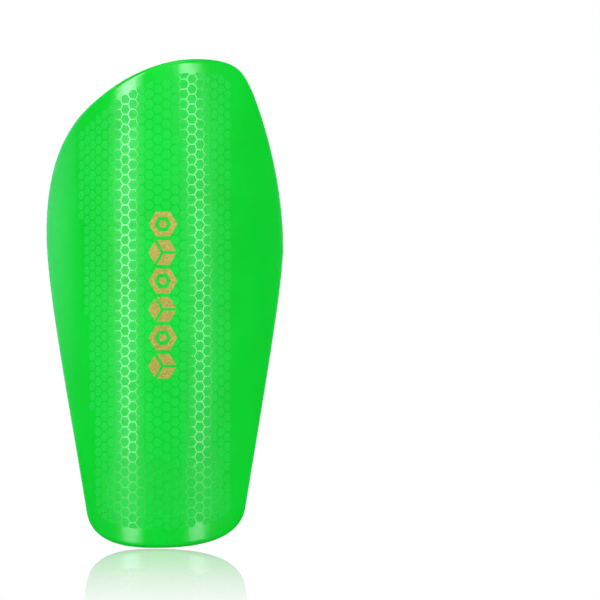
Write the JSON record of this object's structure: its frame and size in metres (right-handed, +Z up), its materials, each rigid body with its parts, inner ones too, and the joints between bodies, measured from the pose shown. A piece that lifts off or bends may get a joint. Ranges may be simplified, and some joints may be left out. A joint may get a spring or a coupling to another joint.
{
  "type": "shin guard",
  "caption": "Slip-in shin guard: curved honeycomb-textured plastic shell with a column of gold foil marks, backed by a foam pad with a fabric lining.",
  "frame": {"origin": "skin side of the lining, on the crest of the shin, at the mid-height of the shell", "axes": "+Z up the leg, +Y into the leg (so the front of the shell faces -Y), +X to the right as seen from the front"},
  "size_m": [0.1027, 0.0538, 0.21],
  "materials": {
    "shell_plastic": "bright green moulded polypropylene, glossy raised honeycomb lines over softly matte cells, smooth glossy border",
    "gold_foil": "hot-stamped gold foil, satin, slightly broken over the texture",
    "adhesive_film": "milky hot-melt adhesive film",
    "pad_foam": "matte closed-cell EVA foam with a fine cell texture",
    "lining_knit": "fine brushed knit laminated to the foam"
  },
  "bodies": {
    "root": {"shell": "shell_plastic", "foil_mark_1": "gold_foil", "foil_mark_2": "gold_foil", "foil_mark_3": "gold_foil", "foil_mark_4": "gold_foil", "foil_mark_5": "gold_foil", "foil_mark_6": "gold_foil", "bond_film": "adhesive_film", "foam_pad": "pad_foam", "lining": "lining_knit"}
  },
  "joints": []
}
